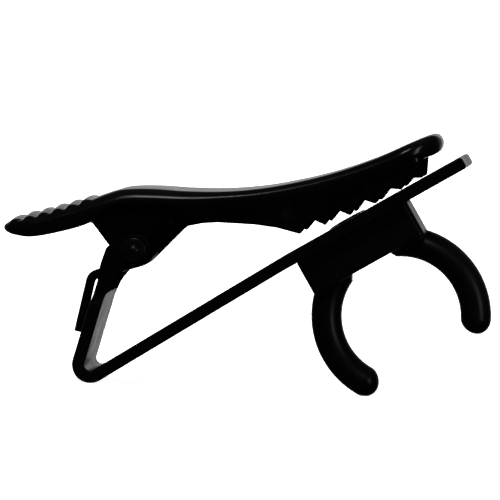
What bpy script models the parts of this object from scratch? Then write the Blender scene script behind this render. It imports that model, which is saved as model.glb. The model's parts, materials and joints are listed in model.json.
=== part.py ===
"""Lapel microphone clip: a sprung alligator clip whose metal jaw carries a swivelling C-shaped capsule holder.

The frame has +X from the thumb pad to the nose, +Y across the clip and +Z up. The clip stands on the
bend of its metal jaw and on the lower end of the holder's ring. The origin lies under the clip's middle.
Lengths are in millimetres until a mesh is made, and angles are in degrees.
"""

import math

import bmesh
import bpy
from mathutils import Matrix, Vector

MM = 0.001
ROUND_SIDES = 24

# Metal jaw: one strip of sheet, folded sharply under the pivot and slightly behind the holder.
SHEET = 1.0
JAW_HALF_WIDTH = 4.0
BEND_OUTER_RADIUS = 1.47
BEND_CENTRE = (-11.82, BEND_OUTER_RADIUS)
SHORT_ARM_ANGLE = 76.2
REAR_ANGLE = 34.1
FRONT_ANGLE = 32.5
REAR_LENGTH = 17.15
FRONT_LENGTH = 16.6
BACK_PLATE_LENGTH = 6.05
TIP_ROUNDING = 0.25

# Pivot, shared by the jaw's ears, the lever's lobes, the pin and the spring.
PIVOT = (-8.85, 10.73)
PIN_RADIUS = 0.6
PIN_HOLE_RADIUS = 0.66
PIN_HEAD_RADIUS = 1.0
PIN_HEAD_HEIGHT = 0.28
PIN_NIB_RADIUS = 0.36
EAR_RADIUS = 1.3
EAR_ROOT_LENGTH = 5.25
EAR_TOP_LENGTH = 9.35
# The outer radius of the fold between the short arm and its ears, at lengths along the arm.
FOLD_STATIONS = [(4.4, 0.05), (4.8, 0.45), (5.3, 1.1), (6.5, 1.1), (6.9, 0.6), (7.3, 0.05)]

# Thumb lever: a moulded channel with a wide rounded top plate.
PLATE_HALF_WIDTH = 3.9
PLATE_LOWER_EDGE = 0.5
PLATE_START_X = -19.6
PLATE_END_X = 14.97
PLATE_END_ROUNDING = 0.95
PAD_CORNER_RADIUS = 2.6
NOSE_CORNER_RADIUS = 3.2
PLATE_STATIONS = 30
SKIRT_OUTER = 3.6
SKIRT_THICKNESS = 1.0
SKIRT_FRONT_X = 13.68
SKIRT_CORNER_RADIUS = 0.9
LOBE_OUTER = 2.9
LOBE_THICKNESS = 0.8
LOBE_RADIUS = 1.4
TOOTH_COUNT = 5
TOOTH_START_X = 4.26
TOOTH_PITCH = 1.95
TOOTH_HEIGHT = 0.78
TOOTH_HEIGHT_LOSS = 0.18
TOOTH_LEAN = 0.62
JAW_TOUCH_GAP = 0.03
RIB_COUNT = 6
RIB_PITCH = 1.12
RIB_START_X = -18.58
RIB_HEIGHT = 0.21
FIRST_RIB_HEIGHT = 0.1
RIB_CROWN = [(-0.46, -0.25), (-0.32, 0.3), (-0.17, 0.8), (0.0, 1.0), (0.2, 0.9), (0.4, 0.52), (0.62, -0.25)]
RIB_ROOT = 0.3
RIB_HALF_WIDTH = 3.4
FIRST_RIB_HALF_WIDTH = 2.9

# Torsion spring on the pin, between the lobes.
WIRE_RADIUS = 0.38
COIL_RADIUS = 1.08
COIL_TURNS = 4
COIL_PITCH = 0.8
LOWER_LEG_ANGLE = 199.0
UPPER_LEG_ANGLE = 151.0
UPPER_LEG_LENGTH = 3.25
LEG_CORNER = (-12.36, 8.38)
LEG_CORNER_RADIUS = 0.75
LEG_END_ALONG_ARM = 2.0

# Capsule holder under the jaw's front stretch, and the rivet that it swivels on.
RING_TUBE_RADIUS = 1.225
RING_RADIUS = 5.95
RING_DEPTH = 7.74
RING_ALONG_FRONT = 5.92
RING_OPENING = 118.0
BLOCK_HALF_LENGTH = 5.02
BLOCK_HALF_DEPTH = 2.3
BLOCK_BOTTOM = 4.8
BLOCK_EDGE = 0.45
SWIVEL_GAP = 0.05
RIVET_RADIUS = 0.8
RIVET_HOLE_RADIUS = 0.88
RIVET_HEAD_RADIUS = 1.88
RIVET_HEAD_DEPTH = 4.8
RIVET_HEAD_THICKNESS = 0.3
RIVET_PEEN_RADIUS = 1.6
RIVET_PEEN_HEIGHT = 0.13
POCKET_RADIUS = 1.97
POCKET_FLOOR = 5.32
WASHER_RADIUS = 1.8
WASHER_HOLE_RADIUS = 0.95
WASHER_THICKNESS = 0.18


# Plane geometry in XZ ------------------------------------------------------------------------------


def direction(angle):
    """The unit vector at an angle above +X."""
    return Vector((math.cos(math.radians(angle)), math.sin(math.radians(angle))))


def polar(centre, radius, angle):
    return Vector(centre) + radius * direction(angle)


def arc(centre, radius, start, end, steps):
    """Points along an arc from one angle to another, both ends included."""
    return [polar(centre, radius, start + (end - start) * i / steps) for i in range(steps + 1)]


def rounded_corner(before, corner, after, radius, steps):
    """Points that round one corner of an outline with an arc."""
    before, corner, after = Vector(before), Vector(corner), Vector(after)
    inward = (before - corner).normalized()
    outward = (after - corner).normalized()
    half = inward.angle(outward) / 2
    centre = corner + (inward + outward).normalized() * radius / math.sin(half)
    first = corner + inward * radius / math.tan(half) - centre
    last = corner + outward * radius / math.tan(half) - centre
    turn = first.angle_signed(last)
    start = math.degrees(math.atan2(first.y, first.x))
    return arc(centre, radius, start, start - math.degrees(turn), steps)


def smooth_height(keys, x):
    """The height at x of a smooth curve through key points sorted along X."""
    if x <= keys[0][0]:
        return keys[0][1]
    for i in range(len(keys) - 1):
        if x <= keys[i + 1][0]:
            break
    x0, z0 = keys[i]
    x1, z1 = keys[i + 1]
    xa, za = keys[max(i - 1, 0)]
    xb, zb = keys[min(i + 2, len(keys) - 1)]
    slope0 = (z1 - za) / (x1 - xa)
    slope1 = (zb - z0) / (xb - x0)
    span = x1 - x0
    t = min((x - x0) / span, 1.0)
    return (
        (2 * t**3 - 3 * t**2 + 1) * z0
        + (t**3 - 2 * t**2 + t) * span * slope0
        + (3 * t**2 - 2 * t**3) * z1
        + (t**3 - t**2) * span * slope1
    )


# Mesh building -------------------------------------------------------------------------------------


def paint(obj, colour, roughness, metallic=0.0):
    """Gives an object its own Principled BSDF material."""
    material = bpy.data.materials.new(obj.name + "_finish")
    material.use_nodes = True
    shader = material.node_tree.nodes["Principled BSDF"]
    shader.inputs["Base Color"].default_value = (*colour, 1.0)
    shader.inputs["Roughness"].default_value = roughness
    shader.inputs["Metallic"].default_value = metallic
    obj.data.materials.append(material)


def solid(name, rings, closed=False):
    """One closed body lofted through rings of 3-D points in millimetres, each with as many points."""
    mesh = bmesh.new()
    loops = [[mesh.verts.new(Vector(point) * MM) for point in ring] for ring in rings]
    count = len(loops[0])
    pairs = list(zip(loops, loops[1:]))
    if closed:
        pairs.append((loops[-1], loops[0]))
    for low, high in pairs:
        for i in range(count):
            j = (i + 1) % count
            mesh.faces.new((low[i], low[j], high[j], high[i]))
    if not closed:
        mesh.faces.new(loops[0])
        mesh.faces.new(loops[-1])
    bmesh.ops.recalc_face_normals(mesh, faces=mesh.faces)
    data = bpy.data.meshes.new(name)
    mesh.to_mesh(data)
    mesh.free()
    obj = bpy.data.objects.new(name, data)
    bpy.context.scene.collection.objects.link(obj)
    return obj


def prism(name, outline, y_low, y_high):
    """An outline in XZ pushed out along Y."""
    return solid(name, [[(x, y, z) for x, z in outline] for y in (y_low, y_high)])


def turned(name, profile, base, axis, sides=ROUND_SIDES):
    """A round body: the profile's (radius, height) points turned about an axis through base."""
    turn = Vector((0, 0, 1)).rotation_difference(Vector(axis)).to_matrix().to_4x4()
    place = Matrix.Translation(Vector(base)) @ turn
    rings = []
    for radius, height in profile:
        ring = []
        for i in range(sides):
            around = 2 * math.pi * i / sides
            ring.append(place @ Vector((radius * math.cos(around), radius * math.sin(around), height)))
        rings.append(ring)
    return solid(name, rings)


def combine(obj, other, operation):
    """Joins or cuts a body with a hidden helper body."""
    step = obj.modifiers.new(other.name, "BOOLEAN")
    step.operation = operation
    step.solver = "EXACT"
    step.object = other
    other.hide_render = True
    other.display_type = "WIRE"


def shade(obj, angle=35.0):
    obj.data.shade_smooth()
    obj.data.set_sharp_from_angle(angle=math.radians(angle))


def hinge_cylinder(name, radius, half_length):
    """A cylinder on the pivot axis, used to bore the pin holes."""
    profile = [(radius, -half_length), (radius, half_length)]
    return turned(name, profile, (PIVOT[0], 0, PIVOT[1]), (0, 1, 0))


# Places on the folded strip -------------------------------------------------------------------------


def short_arm_point(along, inset=0.0):
    """A point on the short arm, measured up from the bend and inward from the outer face."""
    start = polar(BEND_CENTRE, BEND_OUTER_RADIUS, SHORT_ARM_ANGLE + 90)
    return start + along * direction(SHORT_ARM_ANGLE) + inset * direction(SHORT_ARM_ANGLE - 90)


def rear_point(along, above=0.0):
    """A point on the long arm's rear stretch, measured from the bend and up from the underside."""
    start = polar(BEND_CENTRE, BEND_OUTER_RADIUS, REAR_ANGLE - 90)
    return start + along * direction(REAR_ANGLE) + above * direction(REAR_ANGLE + 90)


def front_point(along, above=0.0):
    """A point on the long arm's front stretch, measured from the slight fold and up from the underside."""
    start = rear_point(REAR_LENGTH)
    return start + along * direction(FRONT_ANGLE) + above * direction(FRONT_ANGLE + 90)


def ring_centre():
    return front_point(RING_ALONG_FRONT, -RING_DEPTH)


def strip_top_height(x):
    """How high the front stretch's top face is at x."""
    start = front_point(0, SHEET)
    return start.y + (x - start.x) * math.tan(math.radians(FRONT_ANGLE))


# Sub-parts ------------------------------------------------------------------------------------------


def strip_outline():
    """The folded strip seen from the side: short arm, bend, rear stretch, slight fold and front stretch."""
    outer_bend = arc(BEND_CENTRE, BEND_OUTER_RADIUS, SHORT_ARM_ANGLE + 90, REAR_ANGLE + 270, 10)
    inner_radius = BEND_OUTER_RADIUS - SHEET
    inner_bend = arc(BEND_CENTRE, inner_radius, REAR_ANGLE + 270, SHORT_ARM_ANGLE + 90, 10)
    tip_low = front_point(FRONT_LENGTH)
    tip_high = front_point(FRONT_LENGTH, SHEET)
    fold_low = front_point(0)
    fold_high = front_point(0, SHEET)
    low_corner = rounded_corner(fold_low, tip_low, tip_high, TIP_ROUNDING, 3)
    high_corner = rounded_corner(tip_low, tip_high, fold_high, TIP_ROUNDING, 3)
    arm_end = [short_arm_point(BACK_PLATE_LENGTH, SHEET), short_arm_point(BACK_PLATE_LENGTH)]
    return outer_bend + [fold_low] + low_corner + high_corner + [fold_high] + inner_bend + arm_end


def ear_outline():
    """An ear, from its root on the strip's edge to the round end about the pin."""
    root_outer = short_arm_point(EAR_ROOT_LENGTH)
    root_inner = short_arm_point(EAR_ROOT_LENGTH, SHEET)
    bulge = short_arm_point(EAR_TOP_LENGTH - 1.3, -0.06)
    top_corner = short_arm_point(EAR_TOP_LENGTH)
    round_end = arc(PIVOT, EAR_RADIUS, 105, -115, 14)
    flare = [Vector((-9.62, 9.05)), Vector((-10.15, 8.4)), Vector((-10.6, 7.75))]
    top = rounded_corner(bulge, top_corner, round_end[0], 0.7, 5)
    return [root_outer, bulge] + top + round_end + flare + [root_inner]


def fold_relief(side):
    """What is rounded off one outer corner of the short arm where its edge folds into an ear."""
    rings = []
    for along, radius in FOLD_STATIONS:
        edge = arc((JAW_HALF_WIDTH - radius, radius), radius, 0, -90, 5)
        section = [(side * y, inset) for y, inset in edge]
        beyond = side * (JAW_HALF_WIDTH + 0.5)
        section += [(section[-1][0], -0.5), (beyond, -0.5), (beyond, section[0][1])]
        ring = []
        for y, inset in section:
            place = short_arm_point(along, inset)
            ring.append((place.x, y, place.y))
        rings.append(ring)
    return rings


def make_lower_jaw():
    """The sheet metal jaw with its two folded ears, bored for the pin and the rivet."""
    jaw = prism("lower_jaw", strip_outline(), -JAW_HALF_WIDTH, JAW_HALF_WIDTH)
    outline = ear_outline()
    for side, word in ((-1, "near"), (1, "far")):
        ys = sorted((side * (JAW_HALF_WIDTH - SHEET), side * JAW_HALF_WIDTH))
        combine(jaw, prism(f"jaw_ear_{word}", outline, *ys), "UNION")
        combine(jaw, solid(f"jaw_fold_{word}", fold_relief(side)), "DIFFERENCE")
    combine(jaw, hinge_cylinder("jaw_pin_hole", PIN_HOLE_RADIUS, JAW_HALF_WIDTH + 1), "DIFFERENCE")
    combine(jaw, rivet_cylinder("jaw_rivet_hole", RIVET_HOLE_RADIUS, -RING_DEPTH + 1.0, 3.0), "DIFFERENCE")
    shade(jaw)
    paint(jaw, (0.012, 0.012, 0.014), 0.3, 0.6)
    return jaw


PLATE_TOP = [
    (-19.6, 12.25),
    (-18.9, 12.55),
    (-17.5, 12.93),
    (-15.0, 13.72),
    (-12.6, 14.56),
    (-11.3, 15.08),
    (-10.0, 15.48),
    (-7.8, 15.66),
    (-5.0, 15.64),
    (-2.0, 15.78),
    (1.0, 16.2),
    (4.0, 16.92),
    (7.0, 17.87),
    (10.0, 19.12),
    (12.5, 20.4),
    (14.0, 21.07),
    (15.1, 21.3),
]
PLATE_UNDER = [
    (-19.6, 11.5),
    (-18.4, 11.34),
    (-17.2, 11.29),
    (-15.5, 11.64),
    (-13.1, 12.4),
    (-12.0, 13.0),
    (-10.8, 13.95),
    (-9.5, 14.3),
    (-7.5, 14.36),
    (-4.0, 14.36),
    (-1.0, 14.6),
    (3.0, 15.35),
    (7.0, 16.45),
    (10.0, 17.75),
    (12.5, 18.9),
    (14.0, 19.4),
    (15.1, 19.55),
]
PAD_CROWN = [
    (-19.6, 0.3), (-17.0, 0.34), (-14.5, 0.32), (-12.6, 0.18), (-11.0, 0.04), (-9.8, 0.0), (-8.0, 0.0), (15.1, 0.0),
]
CROWN_SHARES = (0.6, 0.3, 0.0, -0.3, -0.6)
RIB_SHARES = (-1.0, -0.5, 0.0, 0.5, 1.0)
PLATE_UPPER_EDGE = [
    (-19.6, 0.6),
    (-15.0, 0.62),
    (-12.0, 0.86),
    (-8.0, 0.93),
    (-4.8, 0.8),
    (-1.5, 0.62),
    (7.2, 0.62),
    (12.8, 0.78),
    (15.1, 0.78),
]


def end_rounding(distance, radius):
    """How full a rounded end is, from 0 at its tip to 1 a radius away."""
    reach = max(radius - distance, 0.0)
    return math.sqrt(max(radius**2 - reach**2, 0.0)) / radius


def crown_drop(x, y):
    """How far the gently domed thumb pad falls below its middle line at y."""
    return max(smooth_height(PAD_CROWN, x), 0.0) * (y / PLATE_HALF_WIDTH) ** 2


def plate_section(x):
    """The top plate's cross-section at x: a flat slab with rounded edges, smaller towards both ends."""
    distance = min(x - PLATE_START_X, PLATE_END_X - x)
    top = smooth_height(PLATE_TOP, x)
    under = smooth_height(PLATE_UNDER, x)
    middle = (top + under) / 2
    half_height = (top - under) / 2 * end_rounding(distance, PLATE_END_ROUNDING)
    corner = PAD_CORNER_RADIUS if x < 0 else NOSE_CORNER_RADIUS
    drawn_in = corner * (1 - end_rounding(distance, corner))
    half_width = PLATE_HALF_WIDTH - drawn_in
    upper_edge = min(smooth_height(PLATE_UPPER_EDGE, x), 1.44 * half_height)
    lower_edge = min(PLATE_LOWER_EDGE, 1.9 * half_height - upper_edge)
    outline = []
    for side, low, start in ((1, 1, 0), (-1, 1, 90), (-1, -1, 180), (1, -1, 270)):
        edge = upper_edge if low > 0 else lower_edge
        centre = Vector((side * (half_width - edge), middle + low * (half_height - edge)))
        outline += arc(centre, edge, start, start + 90, 3)
        if start == 0:
            outline += [Vector((centre.x * share, middle + half_height)) for share in CROWN_SHARES]
    ring = []
    for y, z in outline:
        share = (z - middle + half_height) / (2 * half_height)
        ring.append((x, y, z - crown_drop(x, y) * end_rounding(distance, PLATE_END_ROUNDING) * share**2))
    return ring


def plate_stations():
    """Places along X for the plate's sections, closer together towards its ends."""
    first = PLATE_START_X + 0.04
    last = PLATE_END_X - 0.04
    middle = (first + last) / 2
    half = (last - first) / 2
    return [middle - half * math.cos(math.pi * i / PLATE_STATIONS) for i in range(PLATE_STATIONS + 1)]


def tooth_tips():
    """The tips of the teeth: the first ones stand clear of the strip, the last ones meet it."""
    tips = []
    for i in range(TOOTH_COUNT + 1):
        x = min(TOOTH_START_X + TOOTH_PITCH * i, SKIRT_FRONT_X - 0.05)
        lift = 1.0 * max(1 - i / 2.9, 0) ** 1.3
        tips.append(Vector((x, strip_top_height(x) + JAW_TOUCH_GAP + lift)))
    return tips


def toothed_edge():
    """The saw-toothed lower edge of the skirt, from its first tip to its last, with shallower last notches."""
    tips = tooth_tips()
    edge = [tips[0]]
    for i, (tip, following) in enumerate(zip(tips, tips[1:])):
        along = following - tip
        square = Vector((-along.y, along.x)).normalized()
        height = TOOTH_HEIGHT - TOOTH_HEIGHT_LOSS * max(i - 2, 0)
        edge.append(tip + TOOTH_LEAN * along + height * square)
        edge.append(following)
    return edge


def skirt_outline():
    """The skirt seen from the side. Its upper edge is buried in the plate."""
    lower = [Vector((-5.6, 13.2)), Vector((-2.6, 13.3)), Vector((0.6, 13.3)), Vector((2.4, 13.15))]
    front = [Vector((SKIRT_FRONT_X, 19.2))]
    upper = [Vector((x, smooth_height(PLATE_UNDER, x) + 0.35)) for x in (13.0, 9.0, 5.0, 1.0, -3.0, -5.6)]
    return lower + toothed_edge() + front + upper


def front_corner(side):
    """The plan of what is cut off one front corner of the skirt to round it."""
    centre = (SKIRT_FRONT_X - SKIRT_CORNER_RADIUS, side * (SKIRT_OUTER - SKIRT_CORNER_RADIUS))
    edge = arc(centre, SKIRT_CORNER_RADIUS, 0, side * 90, 8)
    beyond = SKIRT_OUTER + 1
    outside = [(centre[0], side * beyond), (centre[0] + beyond, side * beyond), (centre[0] + beyond, centre[1])]
    return [(x, y) for x, y in edge] + outside


def make_skirt():
    """The toothed skirt under the plate: two side walls that meet in a rounded front wall."""
    skirt = prism("lever_skirt", skirt_outline(), -SKIRT_OUTER, SKIRT_OUTER)
    channel_end = SKIRT_FRONT_X - SKIRT_THICKNESS
    channel = [(-8.0, 5.0), (channel_end, 5.0), (channel_end, 25.0), (-8.0, 25.0)]
    inner = SKIRT_OUTER - SKIRT_THICKNESS
    combine(skirt, prism("lever_channel", channel, -inner, inner), "DIFFERENCE")
    for side, word in ((-1, "near"), (1, "far")):
        plan = front_corner(side)
        corner = solid(f"lever_corner_{word}", [[(x, y, z) for x, y in plan] for z in (5.0, 25.0)])
        combine(skirt, corner, "DIFFERENCE")
    return skirt


def lobe_outline():
    """A lobe: a tapered tongue that carries the pin and sweeps up into the skirt."""
    left = [Vector((-12.7, 12.9)), Vector((-12.3, 12.58)), Vector((-11.1, 11.13))]
    round_end = arc(PIVOT, LOBE_RADIUS, 215, 318, 9)
    sweep = [Vector((-6.3, 11.48)), Vector((-5.45, 12.42)), Vector((-4.75, 12.83)), Vector((-3.6, 13.12))]
    end = [Vector((-2.4, 13.26)), Vector((-2.4, 14.7))]
    upper = [Vector((-7.0, 14.7)), Vector((-10.0, 14.6)), Vector((-11.3, 14.2)), Vector((-12.3, 13.6))]
    return left + round_end + sweep + end + upper


def rib_outline(index):
    """One rounded grip rib across the thumb pad: steeper towards the tip, gentle towards the hinge."""
    x = RIB_START_X + index * RIB_PITCH
    slope = smooth_height(PLATE_TOP, x + 0.3) - smooth_height(PLATE_TOP, x - 0.3)
    along = Vector((0.6, slope)).normalized()
    up = Vector((-along.y, along.x))
    crest = Vector((x, smooth_height(PLATE_TOP, x)))
    height = RIB_HEIGHT if index else FIRST_RIB_HEIGHT
    crown = [(a, height * share) for a, share in RIB_CROWN]
    shape = [(RIB_CROWN[0][0], -RIB_ROOT)] + crown + [(RIB_CROWN[-1][0], -RIB_ROOT)]
    return [crest + a * along + b * up for a, b in shape]


def grip_rib(name, index):
    """A rib that follows the dome of the pad from side to side."""
    half_width = RIB_HALF_WIDTH if index else FIRST_RIB_HALF_WIDTH
    outline = rib_outline(index)
    middle_x = RIB_START_X + index * RIB_PITCH
    rings = []
    for y in (half_width * share for share in RIB_SHARES):
        rings.append([(x, y, z - crown_drop(middle_x, y)) for x, z in outline])
    return solid(name, rings)


def make_thumb_lever():
    """The moulded lever: plate, thumb ribs, toothed skirt and lobes in one body."""
    lever = solid("thumb_lever", [plate_section(x) for x in plate_stations()])
    shade(lever)
    combine(lever, make_skirt(), "UNION")
    for side, word in ((-1, "near"), (1, "far")):
        ys = sorted((side * (LOBE_OUTER - LOBE_THICKNESS), side * LOBE_OUTER))
        combine(lever, prism(f"lever_lobe_{word}", lobe_outline(), *ys), "UNION")
    for i in range(RIB_COUNT):
        rib = grip_rib(f"lever_rib_{i + 1}", i)
        combine(lever, rib, "UNION")
    combine(lever, hinge_cylinder("lever_pin_hole", PIN_HOLE_RADIUS, LOBE_OUTER + 1), "DIFFERENCE")
    paint(lever, (0.01, 0.01, 0.011), 0.22)
    return lever


def make_pivot_pin():
    """The hinge pin, riveted over outside each ear into a low head with a small nib in its middle."""
    face = JAW_HALF_WIDTH + 0.02
    half = [
        (PIN_RADIUS, 0.0),
        (PIN_RADIUS, face),
        (PIN_HEAD_RADIUS, face),
        (PIN_HEAD_RADIUS * 0.92, face + PIN_HEAD_HEIGHT * 0.45),
        (PIN_NIB_RADIUS, face + PIN_HEAD_HEIGHT * 0.55),
        (PIN_NIB_RADIUS * 0.6, face + PIN_HEAD_HEIGHT),
    ]
    profile = [(radius, -height) for radius, height in reversed(half)] + half[1:]
    pin = turned("pivot_pin", profile, (PIVOT[0], 0, PIVOT[1]), (0, 1, 0))
    shade(pin)
    paint(pin, (0.03, 0.03, 0.032), 0.28, 0.9)
    return pin


def coil_points():
    """The spring's coil about the pin, from the lower leg round to the upper leg."""
    start = LOWER_LEG_ANGLE + 90
    end = UPPER_LEG_ANGLE - 90 + 360 * COIL_TURNS
    steps = 14 * COIL_TURNS
    width = COIL_PITCH * (end - start) / 360
    points = []
    for i in range(steps + 1):
        share = i / steps
        x, z = polar(PIVOT, COIL_RADIUS, start + (end - start) * share)
        points.append((x, width * (share - 0.5), z))
    return points


def make_torsion_spring():
    """The spring: one leg hooks over the jaw's back plate, the other pushes up under the thumb pad."""
    coil = coil_points()
    leg_end = short_arm_point(LEG_END_ALONG_ARM, -WIRE_RADIUS - 0.04)
    lower = rounded_corner(leg_end, LEG_CORNER, (coil[0][0], coil[0][2]), LEG_CORNER_RADIUS, 6)
    upper_start = Vector((coil[-1][0], coil[-1][2]))
    upper_end = upper_start + UPPER_LEG_LENGTH * direction(UPPER_LEG_ANGLE)
    path = [(x, coil[0][1], z) for x, z in [leg_end] + lower] + coil
    path.append((upper_end.x, coil[-1][1], upper_end.y))
    curve = bpy.data.curves.new("torsion_spring", "CURVE")
    curve.dimensions = "3D"
    curve.bevel_depth = WIRE_RADIUS * MM
    curve.bevel_resolution = 2
    curve.use_fill_caps = True
    spline = curve.splines.new("POLY")
    spline.points.add(len(path) - 1)
    for point, place in zip(spline.points, path):
        point.co = (*(Vector(place) * MM), 1.0)
    spring = bpy.data.objects.new("torsion_spring", curve)
    bpy.context.scene.collection.objects.link(spring)
    paint(spring, (0.02, 0.02, 0.022), 0.3, 0.9)
    return spring


def rivet_axis():
    """The swivel axis: it points from the ring's centre up through the strip."""
    up = direction(FRONT_ANGLE + 90)
    return Vector((up.x, 0, up.y))


def rivet_cylinder(name, radius, low, high):
    """A cylinder on the swivel axis, with heights measured from the strip's underside."""
    centre = ring_centre()
    profile = [(radius, low + RING_DEPTH), (radius, high + RING_DEPTH)]
    return turned(name, profile, (centre.x, 0, centre.y), rivet_axis())


def ring_rings():
    """Cross-sections along the C-shaped ring, closed at both ends by round tips."""
    centre = ring_centre()
    opening = FRONT_ANGLE - 90
    start = opening + RING_OPENING / 2
    end = opening + 360 - RING_OPENING / 2
    tip_sweep = math.degrees(RING_TUBE_RADIUS / RING_RADIUS)
    stations = []
    for lean in (10, 35, 62):
        back = math.sin(math.radians(90 - lean))
        stations.append((start - tip_sweep * back, RING_TUBE_RADIUS * math.sin(math.radians(lean))))
    steps = 32
    for i in range(steps + 1):
        stations.append((start + (end - start) * i / steps, RING_TUBE_RADIUS))
    for angle, radius in reversed(stations[:3]):
        stations.append((end + start - angle, radius))
    rings = []
    for angle, radius in stations:
        ring = []
        for i in range(14):
            around = 2 * math.pi * i / 14
            x, z = polar(centre, RING_RADIUS + radius * math.cos(around), angle)
            ring.append((x, radius * math.sin(around), z))
        rings.append(ring)
    return rings


def block_rings():
    """Sections of the block between ring and strip, with rounded upright edges."""
    centre = ring_centre()
    along = direction(FRONT_ANGLE)
    up = direction(FRONT_ANGLE + 90)
    rings = []
    for height in (BLOCK_BOTTOM, RING_DEPTH - SWIVEL_GAP):
        ring = []
        for side_u, side_y, start in ((1, 1, 0), (-1, 1, 90), (-1, -1, 180), (1, -1, 270)):
            corner = Vector((side_u * (BLOCK_HALF_LENGTH - BLOCK_EDGE), side_y * (BLOCK_HALF_DEPTH - BLOCK_EDGE)))
            for u, y in arc(corner, BLOCK_EDGE, start, start + 90, 3):
                place = centre + u * along + height * up
                ring.append((place.x, y, place.y))
        rings.append(ring)
    return rings


def make_mic_holder():
    """The moulded holder: a C-shaped ring under a block, bored and pocketed for the rivet."""
    holder = solid("mic_holder", ring_rings())
    shade(holder)
    combine(holder, solid("holder_block", block_rings()), "UNION")
    pocket_top = POCKET_FLOOR - RING_DEPTH
    combine(holder, rivet_cylinder("holder_pocket", POCKET_RADIUS, pocket_top - 2.5, pocket_top), "DIFFERENCE")
    combine(holder, rivet_cylinder("holder_rivet_hole", RIVET_HOLE_RADIUS, pocket_top - 1, 1.0), "DIFFERENCE")
    paint(holder, (0.01, 0.01, 0.011), 0.25)
    return holder


def make_swivel_rivet():
    """The rivet: a flat head in the ring, a shank, and an end peened over on the strip."""
    centre = ring_centre()
    head_top = RIVET_HEAD_DEPTH + RIVET_HEAD_THICKNESS
    strip_top = RING_DEPTH + SHEET + 0.02
    profile = [
        (RIVET_HEAD_RADIUS - 0.1, RIVET_HEAD_DEPTH),
        (RIVET_HEAD_RADIUS, RIVET_HEAD_DEPTH + 0.1),
        (RIVET_HEAD_RADIUS, head_top),
        (RIVET_RADIUS, head_top),
        (RIVET_RADIUS, strip_top),
        (RIVET_PEEN_RADIUS, strip_top),
        (RIVET_PEEN_RADIUS * 0.85, strip_top + RIVET_PEEN_HEIGHT * 0.65),
        (RIVET_PEEN_RADIUS * 0.4, strip_top + RIVET_PEEN_HEIGHT),
    ]
    rivet = turned("swivel_rivet", profile, (centre.x, 0, centre.y), rivet_axis())
    shade(rivet)
    paint(rivet, (0.03, 0.03, 0.032), 0.3, 0.9)
    return rivet


def make_friction_washer():
    """The spring washer under the rivet's head, which gives the swivel its drag."""
    centre = ring_centre()
    low = POCKET_FLOOR - 0.02 - WASHER_THICKNESS
    high = POCKET_FLOOR - 0.02
    profile = [
        (WASHER_HOLE_RADIUS, low),
        (WASHER_RADIUS, low),
        (WASHER_RADIUS, high),
        (WASHER_HOLE_RADIUS, high),
    ]
    axis = rivet_axis()
    turn = Vector((0, 0, 1)).rotation_difference(axis).to_matrix()
    rings = []
    for i in range(ROUND_SIDES):
        around = 2 * math.pi * i / ROUND_SIDES
        out = Vector((math.cos(around), math.sin(around), 0))
        base = Vector((centre.x, 0, centre.y))
        rings.append([base + turn @ (radius * out + Vector((0, 0, height))) for radius, height in profile])
    washer = solid("friction_washer", rings, closed=True)
    shade(washer)
    paint(washer, (0.35, 0.35, 0.36), 0.3, 1.0)
    return washer


def main():
    for obj in list(bpy.data.objects):
        bpy.data.objects.remove(obj, do_unlink=True)
    make_lower_jaw()
    make_thumb_lever()
    make_pivot_pin()
    make_torsion_spring()
    make_mic_holder()
    make_swivel_rivet()
    make_friction_washer()


main()
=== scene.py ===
import json
import math

import bmesh
import bpy
from mathutils import Matrix, Vector


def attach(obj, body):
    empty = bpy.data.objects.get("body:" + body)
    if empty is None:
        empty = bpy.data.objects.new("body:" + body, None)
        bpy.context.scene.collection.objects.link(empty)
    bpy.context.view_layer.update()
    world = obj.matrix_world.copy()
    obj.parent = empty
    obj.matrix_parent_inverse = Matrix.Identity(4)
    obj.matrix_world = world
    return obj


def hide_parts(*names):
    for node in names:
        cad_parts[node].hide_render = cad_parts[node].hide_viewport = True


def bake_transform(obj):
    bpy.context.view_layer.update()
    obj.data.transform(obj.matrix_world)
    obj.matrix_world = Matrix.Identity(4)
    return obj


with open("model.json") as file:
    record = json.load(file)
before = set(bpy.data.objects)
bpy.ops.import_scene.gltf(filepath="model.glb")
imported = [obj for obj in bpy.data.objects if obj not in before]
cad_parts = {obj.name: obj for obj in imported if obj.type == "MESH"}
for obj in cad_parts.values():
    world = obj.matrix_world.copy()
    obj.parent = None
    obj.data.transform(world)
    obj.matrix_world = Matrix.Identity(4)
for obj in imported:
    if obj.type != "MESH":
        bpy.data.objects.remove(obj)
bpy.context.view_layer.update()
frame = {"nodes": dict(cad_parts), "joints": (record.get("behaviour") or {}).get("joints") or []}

# Lengths are in millimetres until a mesh is made, and angles are in degrees.
MM = 0.001

# Fused skins: the size of their cells, and the share of the faces kept where flat stretches are thinned.
SKIN_VOXEL = 0.09
JAW_VOXEL = 0.08
JAW_KEPT = 0.5
LEVER_KEPT = 0.65

# Sides of a turned body, and sides and steps of the ring's tube.
TURNED_SIDES = 64
TUBE_SIDES = 40
TUBE_STEPS = 120

# Metal jaw.
SHEET = 1.0
JAW_HALF_WIDTH = 4.0
BEND_OUTER_RADIUS = 1.47
BEND_CENTRE = (-11.82, BEND_OUTER_RADIUS)
SHORT_ARM_ANGLE = 76.2
REAR_ANGLE = 34.1
FRONT_ANGLE = 32.5
REAR_LENGTH = 17.15
FRONT_LENGTH = 16.6
BACK_PLATE_LENGTH = 6.05
TIP_ROUNDING = 0.25
EAR_RADIUS = 1.3
EAR_ROOT_LENGTH = 5.25
EAR_TOP_LENGTH = 9.35
FOLD_STATIONS = [(4.3, 0.02), (4.5, 0.12), (4.8, 0.45), (5.05, 0.85), (5.3, 1.1), (6.5, 1.1),
                 (6.75, 0.85), (6.95, 0.45), (7.15, 0.15), (7.3, 0.02)]

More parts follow.
